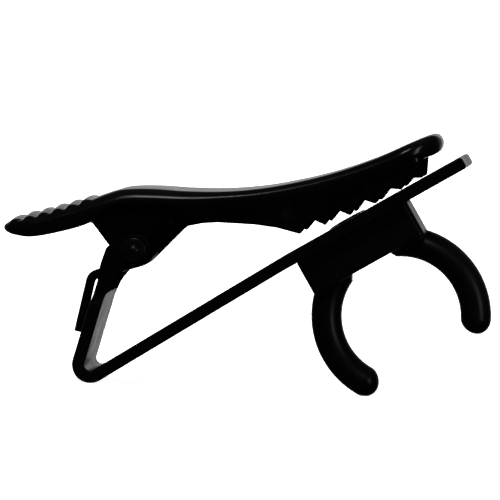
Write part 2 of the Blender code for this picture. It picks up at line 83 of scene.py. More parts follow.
# Pivot: the hinge joint's own place.
HINGE = next(j for j in frame["joints"] if j["name"] == "jaw_hinge")
PIVOT = (HINGE["pos_m"][0] / MM, HINGE["pos_m"][2] / MM)
PIN_RADIUS = 0.6
PIN_HEAD_RADIUS = 1.0
PIN_NIB_RADIUS = 0.36
HOLE_CLEARANCE = 0.06

# Thumb lever.
PLATE_HALF_WIDTH = 3.9
PLATE_LOWER_EDGE = 0.5
PLATE_START_X = -19.6
PLATE_END_X = 14.97
PLATE_END_ROUNDING = 0.95
PAD_CORNER_RADIUS = 2.6
NOSE_CORNER_RADIUS = 3.2
SKIRT_OUTER = 3.6
SKIRT_THICKNESS = 1.0
SKIRT_FRONT_X = 13.68
SKIRT_CORNER_RADIUS = 0.9
LOBE_OUTER = 2.9
LOBE_THICKNESS = 0.8
LOBE_RADIUS = 1.4
TOOTH_COUNT = 5
TOOTH_START_X = 4.26
TOOTH_PITCH = 1.95
TOOTH_HEIGHT = 0.78
TOOTH_HEIGHT_LOSS = 0.18
TOOTH_LEAN = 0.62
TOOTH_TIP_LIFT = 1.0
LIFTED_TEETH = 2.9
JAW_TOUCH_GAP = 0.03
RIB_COUNT = 6
RIB_PITCH = 1.12
RIB_START_X = -18.58
RIB_HEIGHT = 0.23
FIRST_RIB_HEIGHT = 0.13
RIB_HALF_WIDTH = 3.4
FIRST_RIB_HALF_WIDTH = 2.9
RIB_ROOT = 0.3
# Across a rib, the distance along the pad and the share of the rib's height.
RIB_CROWN = [(-0.46, -0.25), (-0.32, 0.3), (-0.17, 0.8), (0.0, 1.0), (0.2, 0.9), (0.4, 0.52), (0.62, -0.25)]

# Torsion spring.
WIRE_RADIUS = 0.38
COIL_RADIUS = 1.08
COIL_TURNS = 4
COIL_PITCH = 0.8
LOWER_LEG_ANGLE = 199.0
UPPER_LEG_ANGLE = 151.0
UPPER_LEG_LENGTH = 3.25
LEG_CORNER = (-12.36, 8.38)
LEG_CORNER_RADIUS = 0.75
LEG_END_ALONG_ARM = 2.0

# Holder and rivet.
RING_TUBE_RADIUS = 1.225
RING_RADIUS = 5.95
RING_DEPTH = 7.74
RING_ALONG_FRONT = 5.92
RING_OPENING = 118.0
BLOCK_HALF_LENGTH = 5.02
BLOCK_HALF_DEPTH = 2.3
BLOCK_BOTTOM = 4.8
BLOCK_EDGE = 0.45
RIVET_RADIUS = 0.8
RIVET_HOLE_RADIUS = 0.88
RIVET_HEAD_RADIUS = 1.88
RIVET_HEAD_DEPTH = 4.8
RIVET_HEAD_THICKNESS = 0.3
RIVET_PEEN_RADIUS = 1.6
POCKET_RADIUS = 1.97
POCKET_FLOOR = 5.32

# Where dull surfaces begin: under the plate, and along the short arm as far as the ears.
MATTE_BELOW_PLATE = 0.1
MATTE_EAR_FROM = 5.75
MATTE_EAR_END_X = PIVOT[0] + EAR_RADIUS + 0.2

# Dark, light and worn colours.
PLASTIC_BLACKS = [(0.0018, 0.0018, 0.002), (0.004, 0.004, 0.0043), (0.014, 0.014, 0.0145)]
COATING_BLACKS = [(0.002, 0.002, 0.0023), (0.005, 0.005, 0.0055), (0.03, 0.03, 0.031)]

# Camera: a long lens, its angles and roll, and the width that it sees.
VIEW_TARGET = (0.03, 0.0, 11.061)
VIEW_AZIMUTH = 5.73
VIEW_ELEVATION = 3.26
VIEW_ROLL = 3.03
VIEW_DISTANCE = 485.0
VIEW_WIDTH = 39.8

# Studio, in metres and relative brightness.
FLOOR_RADIUS = 3.6
FLOOR_CURVE = 1.0
FLOOR_CURVE_STEPS = 12
FLOOR_SIDES = 96
WALL_HEIGHT = 3.0
FLOOR_GLOW = 0.97
WORLD_FRONT = 0.01
WORLD_BEHIND = 0.52
# Of a direction's Y: where the surround begins to pale behind the clip, and where it is palest.
WORLD_PALES_FROM = 0.72
WORLD_PALEST_AT = 0.985
SUN_STRENGTH = 3.6
SUN_SPREAD = 60.0
SUN_TILT = (-8.0, 6.0)
LIGHT_DISTANCE = 0.62
# Name, azimuth, elevation, width, height and brightness.
SOFT_BOXES = [
    ("front_box", -5.0, 38.0, 16.0, 13.0, 4.6),
    ("right_box", 47.0, 6.0, 9.0, 26.0, 2.1),
]


# Plane geometry in XZ ------------------------------------------------------------------------------


def direction(angle):
    return Vector((math.cos(math.radians(angle)), math.sin(math.radians(angle))))


def polar(centre, radius, angle):
    return Vector(centre) + radius * direction(angle)


def arc(centre, radius, start, end, steps):
    return [polar(centre, radius, start + (end - start) * i / steps) for i in range(steps + 1)]


def rounded_corner(before, corner, after, radius, steps):
    """Points that round one corner of an outline with an arc."""
    before, corner, after = Vector(before), Vector(corner), Vector(after)
    inward = (before - corner).normalized()
    outward = (after - corner).normalized()
    half = inward.angle(outward) / 2
    centre = corner + (inward + outward).normalized() * radius / math.sin(half)
    first = corner + inward * radius / math.tan(half) - centre
    last = corner + outward * radius / math.tan(half) - centre
    turn = first.angle_signed(last)
    start = math.degrees(math.atan2(first.y, first.x))
    return arc(centre, radius, start, start - math.degrees(turn), steps)


def smooth_height(keys, x):
    """The height at x of a smooth curve through key points sorted along X."""
    if x <= keys[0][0]:
        return keys[0][1]
    for i in range(len(keys) - 1):
        if x <= keys[i + 1][0]:
            break
    x0, z0 = keys[i]
    x1, z1 = keys[i + 1]
    xa, za = keys[max(i - 1, 0)]
    xb, zb = keys[min(i + 2, len(keys) - 1)]
    slope0 = (z1 - za) / (x1 - xa)
    slope1 = (zb - z0) / (xb - x0)
    span = x1 - x0
    t = min((x - x0) / span, 1.0)
    return (
        (2 * t**3 - 3 * t**2 + 1) * z0
        + (t**3 - 2 * t**2 + t) * span * slope0
        + (3 * t**2 - 2 * t**3) * z1
        + (t**3 - t**2) * span * slope1
    )


# Bodies --------------------------------------------------------------------------------------------


def link(name, data):
    obj = bpy.data.objects.new(name, data)
    bpy.context.scene.collection.objects.link(obj)
    return obj


def solid(name, rings):
    """One closed body lofted through rings of 3-D points, in millimetres."""
    mesh = bmesh.new()
    loops = [[mesh.verts.new(Vector(point)) for point in ring] for ring in rings]
    count = len(loops[0])
    for low, high in zip(loops, loops[1:]):
        for i in range(count):
            j = (i + 1) % count
            mesh.faces.new((low[i], low[j], high[j], high[i]))
    mesh.faces.new(loops[0])
    mesh.faces.new(loops[-1])
    bmesh.ops.recalc_face_normals(mesh, faces=mesh.faces)
    data = bpy.data.meshes.new(name)
    mesh.to_mesh(data)
    mesh.free()
    return link(name, data)


def prism(name, outline, y_low, y_high):
    return solid(name, [[(x, y, z) for x, z in outline] for y in (y_low, y_high)])


def turned(name, profile, base, axis):
    """A round body: (radius, height) points turned about an axis through base."""
    turn = Vector((0, 0, 1)).rotation_difference(Vector(axis)).to_matrix().to_4x4()
    place = Matrix.Translation(Vector(base)) @ turn
    rings = []
    for radius, height in profile:
        ring = []
        for i in range(TURNED_SIDES):
            around = 2 * math.pi * i / TURNED_SIDES
            ring.append(place @ Vector((radius * math.cos(around), radius * math.sin(around), height)))
        rings.append(ring)
    return solid(name, rings)


def cut(obj, other):
    """Cuts a helper body out of a body. The helper is removed once the cut is final."""
    step = obj.modifiers.new(other.name, "BOOLEAN")
    step.operation = "DIFFERENCE"
    step.solver = "EXACT"
    step.object = other
    finalise(obj)
    bpy.data.objects.remove(other)


def finalise(obj):
    """Turns an object's modifiers into its mesh."""
    graph = bpy.context.evaluated_depsgraph_get()
    mesh = bpy.data.meshes.new_from_object(obj.evaluated_get(graph))
    obj.modifiers.clear()
    obj.data = mesh


def fused(name, parts, voxel=SKIN_VOXEL, passes=4, kept=1.0):
    """One continuous skin round overlapping bodies, with edges softened as a mould or a tumbler leaves them.

    Its flat stretches are thinned out until only the share kept of its faces is left.
    """
    joined = bmesh.new()
    for part in parts:
        joined.from_mesh(part.data)
        bpy.data.objects.remove(part)
    data = bpy.data.meshes.new(name)
    joined.to_mesh(data)
    joined.free()
    obj = link(name, data)
    skin = obj.modifiers.new("skin", "REMESH")
    skin.mode = "VOXEL"
    skin.voxel_size = voxel
    soften = obj.modifiers.new("soften", "SMOOTH")
    soften.factor = 0.5
    soften.iterations = passes
    thin = obj.modifiers.new("thin", "DECIMATE")
    thin.ratio = kept
    finalise(obj)
    return obj


def to_metres(obj):
    obj.data.transform(Matrix.Scale(MM, 4))
    obj.data.shade_smooth()
    return obj


# Places on the folded strip -------------------------------------------------------------------------


def short_arm_point(along, inset=0.0):
    start = polar(BEND_CENTRE, BEND_OUTER_RADIUS, SHORT_ARM_ANGLE + 90)
    return start + along * direction(SHORT_ARM_ANGLE) + inset * direction(SHORT_ARM_ANGLE - 90)


def rear_point(along):
    start = polar(BEND_CENTRE, BEND_OUTER_RADIUS, REAR_ANGLE - 90)
    return start + along * direction(REAR_ANGLE)


def front_point(along, above=0.0):
    start = rear_point(REAR_LENGTH)
    return start + along * direction(FRONT_ANGLE) + above * direction(FRONT_ANGLE + 90)


def ring_centre():
    return front_point(RING_ALONG_FRONT, -RING_DEPTH)


def strip_top_height(x):
    start = front_point(0, SHEET)
    return start.y + (x - start.x) * math.tan(math.radians(FRONT_ANGLE))


# Jaw -----------------------------------------------------------------------------------------------


def strip_outline():
    outer_bend = arc(BEND_CENTRE, BEND_OUTER_RADIUS, SHORT_ARM_ANGLE + 90, REAR_ANGLE + 270, 32)
    inner_radius = BEND_OUTER_RADIUS - SHEET
    inner_bend = arc(BEND_CENTRE, inner_radius, REAR_ANGLE + 270, SHORT_ARM_ANGLE + 90, 20)
    tip_low = front_point(FRONT_LENGTH)
    tip_high = front_point(FRONT_LENGTH, SHEET)
    fold_low = front_point(0)
    fold_high = front_point(0, SHEET)
    low_corner = rounded_corner(fold_low, tip_low, tip_high, TIP_ROUNDING, 8)
    high_corner = rounded_corner(tip_low, tip_high, fold_high, TIP_ROUNDING, 8)
    arm_end = [short_arm_point(BACK_PLATE_LENGTH, SHEET), short_arm_point(BACK_PLATE_LENGTH)]
    return outer_bend + [fold_low] + low_corner + high_corner + [fold_high] + inner_bend + arm_end


def ear_outline():
    root_outer = short_arm_point(EAR_ROOT_LENGTH)
    root_inner = short_arm_point(EAR_ROOT_LENGTH, SHEET)
    bulge = short_arm_point(EAR_TOP_LENGTH - 1.3, -0.06)
    top_corner = short_arm_point(EAR_TOP_LENGTH)
    round_end = arc(PIVOT, EAR_RADIUS, 105, -115, 40)
    flare = [Vector((-9.62, 9.05)), Vector((-9.88, 8.72)), Vector((-10.15, 8.4))]
    flare += [Vector((-10.38, 8.09)), Vector((-10.6, 7.75))]
    top = rounded_corner(bulge, top_corner, round_end[0], 0.7, 12)
    return [root_outer, bulge] + top + round_end + flare + [root_inner]


def fold_relief(side):
    rings = []
    for along, radius in FOLD_STATIONS:
        edge = arc((JAW_HALF_WIDTH - radius, radius), radius, 0, -90, 12)
        section = [(side * y, inset) for y, inset in edge]
        beyond = side * (JAW_HALF_WIDTH + 0.5)
        section += [(section[-1][0], -0.5), (beyond, -0.5), (beyond, section[0][1])]
        ring = []
        for y, inset in section:
            place = short_arm_point(along, inset)
            ring.append((place.x, y, place.y))
        rings.append(ring)
    return rings


def pivot_bore(name, radius, half_length):
    profile = [(radius, -half_length), (radius, half_length)]
    return turned(name, profile, (PIVOT[0], 0, PIVOT[1]), (0, 1, 0))


def rivet_axis():
    up = direction(FRONT_ANGLE + 90)
    return Vector((up.x, 0, up.y))


def rivet_bore(name, radius, low, high):
    """A cylinder on the swivel axis, with heights measured from the ring's centre."""
    centre = ring_centre()
    return turned(name, [(radius, low), (radius, high)], (centre.x, 0, centre.y), rivet_axis())


def make_jaw():
    strip = prism("strip", strip_outline(), -JAW_HALF_WIDTH, JAW_HALF_WIDTH)
    parts = [strip]
    for side in (-1, 1):
        cut(strip, solid("fold", fold_relief(side)))
        ys = sorted((side * (JAW_HALF_WIDTH - SHEET), side * JAW_HALF_WIDTH))
        ear = prism("ear", ear_outline(), *ys)
        cut(ear, solid("fold", fold_relief(side)))
        cut(ear, pivot_bore("bore", PIN_RADIUS + HOLE_CLEARANCE, JAW_HALF_WIDTH + 1))
        parts.append(ear)
    cut(strip, rivet_bore("bore", RIVET_HOLE_RADIUS, RING_DEPTH - 1, RING_DEPTH + 2))
    jaw = to_metres(fused("jaw_folded_strip", parts, voxel=JAW_VOXEL, passes=3, kept=JAW_KEPT))
    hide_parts("lower_jaw")
    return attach(jaw, "jaw")


# Lever ---------------------------------------------------------------------------------------------


# Along X: the plate's top and underside, the radius of its upper edge, and how far the pad's sides fall.
PLATE_TOP = [
    (-19.6, 12.25), (-18.9, 12.55), (-17.5, 12.93), (-15.0, 13.72), (-12.6, 14.56), (-11.3, 15.08),
    (-10.0, 15.48), (-7.8, 15.66), (-5.0, 15.64), (-2.0, 15.78), (1.0, 16.2), (4.0, 16.92),
    (7.0, 17.87), (10.0, 19.12), (12.5, 20.4), (14.0, 21.07), (15.1, 21.3),
]
PLATE_UNDER = [
    (-19.6, 11.5), (-18.4, 11.34), (-17.2, 11.29), (-15.5, 11.64), (-13.1, 12.4), (-12.0, 13.0),
    (-10.8, 13.95), (-9.5, 14.3), (-7.5, 14.36), (-4.0, 14.36), (-1.0, 14.6), (3.0, 15.35),
    (7.0, 16.45), (10.0, 17.75), (12.5, 18.9), (14.0, 19.4), (15.1, 19.55),
]
PLATE_UPPER_EDGE = [
    (-19.6, 0.6), (-15.0, 0.62), (-12.0, 0.86), (-8.0, 0.93), (-4.8, 0.8), (-1.5, 0.62),
    (7.2, 0.62), (12.8, 0.78), (15.1, 0.78),
]
PAD_CROWN = [
    (-19.6, 0.3), (-17.0, 0.34), (-14.5, 0.32), (-12.6, 0.18), (-11.0, 0.04), (-9.8, 0.0),
    (-8.0, 0.0), (15.1, 0.0),
]
CROWN_SHARES = (0.8, 0.6, 0.4, 0.2, 0.0, -0.2, -0.4, -0.6, -0.8)
RIB_SHARES = (-1.0, -0.75, -0.5, -0.25, 0.0, 0.25, 0.5, 0.75, 1.0)


def end_rounding(distance, radius):
    """How full a rounded end is, from 0 at its tip to 1 a radius away."""
    reach = max(radius - distance, 0.0)
    return math.sqrt(max(radius**2 - reach**2, 0.0)) / radius


def crown_drop(x, y):
    """How far the gently domed thumb pad falls below its middle line at y."""
    return max(smooth_height(PAD_CROWN, x), 0.0) * (y / PLATE_HALF_WIDTH) ** 2


def plate_section(x):
    """The top plate's cross-section at x: a slab with rounded edges, smaller towards both ends.

    The domed pad lowers the top fully and leaves the underside flat.
    """
    distance = min(x - PLATE_START_X, PLATE_END_X - x)
    top = smooth_height(PLATE_TOP, x)
    under = smooth_height(PLATE_UNDER, x)
    middle = (top + under) / 2
    half_height = (top - under) / 2 * end_rounding(distance, PLATE_END_ROUNDING)
    corner = PAD_CORNER_RADIUS if x < 0 else NOSE_CORNER_RADIUS
    drawn_in = corner * (1 - end_rounding(distance, corner))
    half_width = PLATE_HALF_WIDTH - drawn_in
    upper_edge = min(smooth_height(PLATE_UPPER_EDGE, x), 1.44 * half_height)
    lower_edge = min(PLATE_LOWER_EDGE, 1.9 * half_height - upper_edge)
    outline = []
    for side, low, start in ((1, 1, 0), (-1, 1, 90), (-1, -1, 180), (1, -1, 270)):
        edge = upper_edge if low > 0 else lower_edge
        centre = Vector((side * (half_width - edge), middle + low * (half_height - edge)))
        outline += arc(centre, edge, start, start + 90, 10)
        if start == 0:
            outline += [Vector((centre.x * share, middle + half_height)) for share in CROWN_SHARES]
    ring = []
    for y, z in outline:
        share = (z - middle + half_height) / (2 * half_height)
        ring.append((x, y, z - crown_drop(x, y) * end_rounding(distance, PLATE_END_ROUNDING) * share**2))
    return ring


def plate_stations(count):
    """Places along X for the plate's sections, closer together towards its ends."""
    first = PLATE_START_X + 0.02
    last = PLATE_END_X - 0.02
    middle = (first + last) / 2
    half = (last - first) / 2
    return [middle - half * math.cos(math.pi * i / count) for i in range(count + 1)]


def tooth_tips():
    tips = []
    for i in range(TOOTH_COUNT + 1):
        x = min(TOOTH_START_X + TOOTH_PITCH * i, SKIRT_FRONT_X - 0.05)
        lift = TOOTH_TIP_LIFT * max(1 - i / LIFTED_TEETH, 0) ** 1.3
        tips.append(Vector((x, strip_top_height(x) + JAW_TOUCH_GAP + lift)))
    return tips


def toothed_edge():
    tips = tooth_tips()
    edge = [tips[0]]
    for i, (tip, following) in enumerate(zip(tips, tips[1:])):
        along = following - tip
        square = Vector((-along.y, along.x)).normalized()
        height = TOOTH_HEIGHT - TOOTH_HEIGHT_LOSS * max(i - 2, 0)
        edge.append(tip + TOOTH_LEAN * along + height * square)
        edge.append(following)
    return edge


def skirt_outline():
    lower = [Vector((-5.6, 13.2)), Vector((-2.6, 13.3)), Vector((0.6, 13.3)), Vector((2.4, 13.15))]
    front = [Vector((SKIRT_FRONT_X, 19.2))]
    upper = [Vector((x, smooth_height(PLATE_UNDER, x) + 0.35)) for x in (13.0, 9.0, 5.0, 1.0, -3.0, -5.6)]
    return lower + toothed_edge() + front + upper


def front_corner(side):
    centre = (SKIRT_FRONT_X - SKIRT_CORNER_RADIUS, side * (SKIRT_OUTER - SKIRT_CORNER_RADIUS))
    edge = arc(centre, SKIRT_CORNER_RADIUS, 0, side * 90, 20)
    beyond = SKIRT_OUTER + 1
    far_x = centre[0] + beyond
    outside = [(centre[0], side * beyond), (far_x, side * beyond), (far_x, centre[1])]
    return [(x, y) for x, y in edge] + outside


def make_skirt():
    """The toothed skirt under the plate: two side walls that meet in a rounded front wall."""
    skirt = prism("skirt", skirt_outline(), -SKIRT_OUTER, SKIRT_OUTER)
    channel_end = SKIRT_FRONT_X - SKIRT_THICKNESS
    channel = [(-8.0, 5.0), (channel_end, 5.0), (channel_end, 25.0), (-8.0, 25.0)]
    inner = SKIRT_OUTER - SKIRT_THICKNESS
    cut(skirt, prism("channel", channel, -inner, inner))
    for side in (-1, 1):
        plan = front_corner(side)
        cut(skirt, solid("corner", [[(x, y, z) for x, y in plan] for z in (5.0, 25.0)]))
    return skirt


def lobe_outline():
    left = [Vector((-12.7, 12.9)), Vector((-12.3, 12.58)), Vector((-11.1, 11.13))]
    round_end = arc(PIVOT, LOBE_RADIUS, 215, 318, 30)
    sweep = [Vector((-6.3, 11.48)), Vector((-5.45, 12.42)), Vector((-4.75, 12.83)), Vector((-3.6, 13.12))]
    end = [Vector((-2.4, 13.26)), Vector((-2.4, 14.7))]
    upper = [Vector((-7.0, 14.7)), Vector((-10.0, 14.6)), Vector((-11.3, 14.2)), Vector((-12.3, 13.6))]
    return left + round_end + sweep + end + upper


def rib_outline(index):
    """One rounded grip rib across the thumb pad: steeper towards the tip, gentle towards the hinge."""
    x = RIB_START_X + index * RIB_PITCH
    slope = smooth_height(PLATE_TOP, x + 0.3) - smooth_height(PLATE_TOP, x - 0.3)
    along = Vector((0.6, slope)).normalized()
    up = Vector((-along.y, along.x))
    crest = Vector((x, smooth_height(PLATE_TOP, x)))
    height = RIB_HEIGHT if index else FIRST_RIB_HEIGHT
    crown = [(a, height * share) for a, share in RIB_CROWN]
    shape = [(RIB_CROWN[0][0], -RIB_ROOT)] + crown + [(RIB_CROWN[-1][0], -RIB_ROOT)]
    return [crest + a * along + b * up for a, b in shape]


def grip_rib(name, index):
    """A rib that follows the dome of the pad from side to side."""
    half_width = RIB_HALF_WIDTH if index else FIRST_RIB_HALF_WIDTH
    outline = rib_outline(index)
    middle_x = RIB_START_X + index * RIB_PITCH
    rings = []
    for y in (half_width * share for share in RIB_SHARES):
        rings.append([(x, y, z - crown_drop(middle_x, y)) for x, z in outline])
    return solid(name, rings)


def make_lever():
    skirt = make_skirt()
    parts = [solid("plate", [plate_section(x) for x in plate_stations(180)]), skirt]
    for side in (-1, 1):
        ys = sorted((side * (LOBE_OUTER - LOBE_THICKNESS), side * LOBE_OUTER))
        lobe = prism("lobe", lobe_outline(), *ys)
        cut(lobe, pivot_bore("bore", PIN_RADIUS + HOLE_CLEARANCE, LOBE_OUTER + 1))
        parts.append(lobe)
    for i in range(RIB_COUNT):
        parts.append(grip_rib("rib", i))
    lever = to_metres(fused("lever_moulding", parts, kept=LEVER_KEPT))
    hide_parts("thumb_lever")
    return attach(lever, "lever")


# Holder --------------------------------------------------------------------------------------------


def ring_sections():
    """Cross-sections along the C-shaped ring, closed at both ends by round tips."""
    centre = ring_centre()
    opening = FRONT_ANGLE - 90
    start = opening + RING_OPENING / 2
    end = opening + 360 - RING_OPENING / 2
    tip_sweep = math.degrees(RING_TUBE_RADIUS / RING_RADIUS)
    stations = []
    for lean in range(5, 90, 10):
        back = math.cos(math.radians(lean))
        stations.append((start - tip_sweep * back, RING_TUBE_RADIUS * math.sin(math.radians(lean))))
    tips = len(stations)
    for i in range(TUBE_STEPS + 1):
        stations.append((start + (end - start) * i / TUBE_STEPS, RING_TUBE_RADIUS))
    for angle, radius in reversed(stations[:tips]):
        stations.append((end + start - angle, radius))
    rings = []
    for angle, radius in stations:
        ring = []
        for i in range(TUBE_SIDES):
            around = 2 * math.pi * i / TUBE_SIDES
            x, z = polar(centre, RING_RADIUS + radius * math.cos(around), angle)
            ring.append((x, radius * math.sin(around), z))
        rings.append(ring)
    return rings


def block_sections():
    centre = ring_centre()
    along = direction(FRONT_ANGLE)
    up = direction(FRONT_ANGLE + 90)
    rings = []
    for height in (BLOCK_BOTTOM, RING_DEPTH + 0.01):
        ring = []
        for side_u, side_y, start in ((1, 1, 0), (-1, 1, 90), (-1, -1, 180), (1, -1, 270)):
            corner = (side_u * (BLOCK_HALF_LENGTH - BLOCK_EDGE), side_y * (BLOCK_HALF_DEPTH - BLOCK_EDGE))
            for u, y in arc(corner, BLOCK_EDGE, start, start + 90, 8):
                place = centre + u * along + height * up
                ring.append((place.x, y, place.y))
        rings.append(ring)
    return rings


def make_holder():
    ring = solid("ring", ring_sections())
    block = solid("block", block_sections())
    for part in (ring, block):
        cut(part, rivet_bore("pocket", POCKET_RADIUS, POCKET_FLOOR - 2.5, POCKET_FLOOR))
        cut(part, rivet_bore("bore", RIVET_HOLE_RADIUS, POCKET_FLOOR - 1, RING_DEPTH + 1))
    holder = to_metres(fused("holder_moulding", [ring, block], passes=6))
    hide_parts("mic_holder")
    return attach(holder, "holder")


# Pins and spring -----------------------------------------------------------------------------------


def make_pin():
    """The hinge pin with its two low heads, each with a rounded nib in its middle."""
    face = JAW_HALF_WIDTH + 0.02
    half = [(PIN_RADIUS, 0.0), (PIN_RADIUS, face - 0.02)]
    half += [(PIN_HEAD_RADIUS - 0.04, face), (PIN_HEAD_RADIUS, face + 0.03)]
    for swing in range(0, 91, 15):
        lean = math.radians(swing)
        rim = PIN_HEAD_RADIUS - 0.09 * (1 - math.cos(lean))
        half.append((rim, face + 0.05 + 0.08 * math.sin(lean)))
    half += [(0.6, face + 0.145), (0.42, face + 0.15)]
    for swing in range(0, 90, 10):
        lean = math.radians(swing)
        half.append((PIN_NIB_RADIUS * math.cos(lean), face + 0.155 + 0.12 * math.sin(lean)))
    profile = [(radius, -height) for radius, height in reversed(half)] + half[1:]
    pin = to_metres(turned("hinge_pin", profile, (PIVOT[0], 0, PIVOT[1]), (0, 1, 0)))
    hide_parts("pivot_pin")
    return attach(pin, "jaw")


def make_rivet():
    """The swivel rivet: chamfered flat head, shank and peened end."""
    centre = ring_centre()
    head_top = RIVET_HEAD_DEPTH + RIVET_HEAD_THICKNESS
    strip_top = RING_DEPTH + SHEET + 0.02
    profile = [
        (RIVET_HEAD_RADIUS - 0.12, RIVET_HEAD_DEPTH),
        (RIVET_HEAD_RADIUS - 0.03, RIVET_HEAD_DEPTH + 0.03),
        (RIVET_HEAD_RADIUS, RIVET_HEAD_DEPTH + 0.12),
        (RIVET_HEAD_RADIUS, head_top),
        (RIVET_RADIUS, head_top),
        (RIVET_RADIUS, strip_top),
        (RIVET_PEEN_RADIUS - 0.04, strip_top),
        (RIVET_PEEN_RADIUS, strip_top + 0.03),
    ]
    for i in range(1, 8):
        swing = math.radians(90 * i / 8)
        profile.append((RIVET_PEEN_RADIUS * math.cos(swing), strip_top + 0.03 + 0.1 * math.sin(swing)))
    rivet = to_metres(turned("swivel_rivet_finished", profile, (centre.x, 0, centre.y), rivet_axis()))
    rivet.data.set_sharp_from_angle(angle=math.radians(50))
    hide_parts("swivel_rivet")
    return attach(rivet, "jaw")


def coil_points():
    start = LOWER_LEG_ANGLE + 90
    end = UPPER_LEG_ANGLE - 90 + 360 * COIL_TURNS
    steps = 40 * COIL_TURNS
    width = COIL_PITCH * (end - start) / 360
    points = []
    for i in range(steps + 1):
        share = i / steps
        x, z = polar(PIVOT, COIL_RADIUS, start + (end - start) * share)
        points.append((x, width * (share - 0.5), z))
    return points


def make_spring():
    """The torsion spring, with its turns between the lobes. On the real clip they wind up as the lever
    turns; this mesh keeps one fixed shape.
    """
    coil = coil_points()
    leg_end = short_arm_point(LEG_END_ALONG_ARM, -WIRE_RADIUS - 0.04)
    lower = rounded_corner(leg_end, LEG_CORNER, (coil[0][0], coil[0][2]), LEG_CORNER_RADIUS, 16)
    upper_start = Vector((coil[-1][0], coil[-1][2]))
    upper_end = upper_start + UPPER_LEG_LENGTH * direction(UPPER_LEG_ANGLE)
    path = [(x, coil[0][1], z) for x, z in [leg_end] + lower] + coil
    path.append((upper_end.x, coil[-1][1], upper_end.y))
    curve = bpy.data.curves.new("spring_path", "CURVE")
    curve.dimensions = "3D"
    curve.bevel_depth = WIRE_RADIUS
    curve.bevel_resolution = 6
    curve.use_fill_caps = True
    spline = curve.splines.new("POLY")
    spline.points.add(len(path) - 1)
    for point, place in zip(spline.points, path):
        point.co = (*place, 1.0)
    wire = link("spring_wire_path", curve)
    graph = bpy.context.evaluated_depsgraph_get()
    mesh = bpy.data.meshes.new_from_object(wire.evaluated_get(graph))
    bpy.data.objects.remove(wire)
    spring = to_metres(link("coil_spring", mesh))
    spring.data.set_sharp_from_angle(angle=math.radians(60))
    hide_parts("torsion_spring")
    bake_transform(spring)
    return spring


# Materials -----------------------------------------------------------------------------------------


def node(tree, kind, **inputs):
    """A shader node with some of its sockets set or linked."""
    made = tree.nodes.new(kind)
    for name, value in inputs.items():
        socket = made.inputs[name.replace("_", " ")]
        if isinstance(value, bpy.types.NodeSocket):
            tree.links.new(value, socket)
        else:
            socket.default_value = value
    return made


def noise(tree, place, scale, detail, roughness=0.5):
    made = node(tree, "ShaderNodeTexNoise", Vector=place, Scale=scale, Detail=detail, Roughness=roughness)
    return made.outputs["Fac"]


def span(tree, value, low, high, to_low, to_high):
    """Maps a value from one range to another, clamped."""
    made = tree.nodes.new("ShaderNodeMapRange")
    tree.links.new(value, made.inputs["Value"])
    for name, number in (("From Min", low), ("From Max", high), ("To Min", to_low), ("To Max", to_high)):
        made.inputs[name].default_value = number
    return made.outputs["Result"]


def mixed(tree, share, first, second):
    """A colour between two colours or colour sockets."""
    made = tree.nodes.new("ShaderNodeMix")
    made.data_type = "RGBA"
    tree.links.new(share, made.inputs[0])
    for socket, value in ((made.inputs[6], first), (made.inputs[7], second)):
        if isinstance(value, bpy.types.NodeSocket):
            tree.links.new(value, socket)
        else:
            socket.default_value = (*value, 1.0)
    return made.outputs[2]


def surface(name, dark, light, worn, rough, wear_from, grain_mm, bump_mm, metallic=0.0, specular=0.5):
    """A black surface with uneven colour and gloss, fine grain, and paler worn edges."""
    material = bpy.data.materials.new(name)
    material.use_nodes = True
    tree = material.node_tree
    shader = tree.nodes["Principled BSDF"]
    shader.inputs["Metallic"].default_value = metallic
    shader.inputs["Specular IOR Level"].default_value = specular
    place = tree.nodes.new("ShaderNodeTexCoord").outputs["Object"]
    cloud = noise(tree, place, 180.0, 5.0, 0.6)
    grain_scale = 1.0 / (grain_mm * MM)
    grain = noise(tree, place, grain_scale, 3.0)
    smear = noise(tree, place, grain_scale / 7, 4.0)
    colour = mixed(tree, span(tree, cloud, 0.35, 0.65, 0.0, 1.0), dark, light)
    edge = tree.nodes.new("ShaderNodeNewGeometry").outputs["Pointiness"]
    rub = noise(tree, place, 900.0, 4.0)
    sharp = span(tree, edge, wear_from, wear_from + 0.05, 0.0, 1.0)
    patchy = span(tree, rub, 0.45, 0.7, 0.0, 1.0)
    wear = tree.nodes.new("ShaderNodeMath")
    wear.operation = "MULTIPLY"
    tree.links.new(sharp, wear.inputs[0])
    tree.links.new(patchy, wear.inputs[1])
    tree.links.new(mixed(tree, wear.outputs[0], colour, worn), shader.inputs["Base Color"])
    tree.links.new(span(tree, smear, 0.3, 0.7, rough[0], rough[1]), shader.inputs["Roughness"])
    bump = node(tree, "ShaderNodeBump", Height=grain, Strength=1.0, Distance=bump_mm * MM)
    tree.links.new(bump.outputs["Normal"], shader.inputs["Normal"])
    return material


def dress(obj, material):
    obj.data.materials.clear()
    obj.data.materials.append(material)


def dress_in_two(obj, glossy, matte, is_matte):
    """One material on most of a piece and a duller one on the faces picked by is_matte."""
    dress(obj, glossy)
    obj.data.materials.append(matte)
    for face in obj.data.polygons:
        face.material_index = int(is_matte(face.center / MM))


def is_under_plate(place):
    """On the skirt, teeth and ears below the lever's glossy plate."""
    return place.z < smooth_height(PLATE_UNDER, place.x) - MATTE_BELOW_PLATE


def is_on_ear(place):
    """On the jaw's hinge ears, past the end of the short arm."""
    offset = Vector((place.x, place.z)) - short_arm_point(MATTE_EAR_FROM)
    return place.x < MATTE_EAR_END_X and offset.dot(direction(SHORT_ARM_ANGLE)) > 0


# Studio --------------------------------------------------------------------------------------------


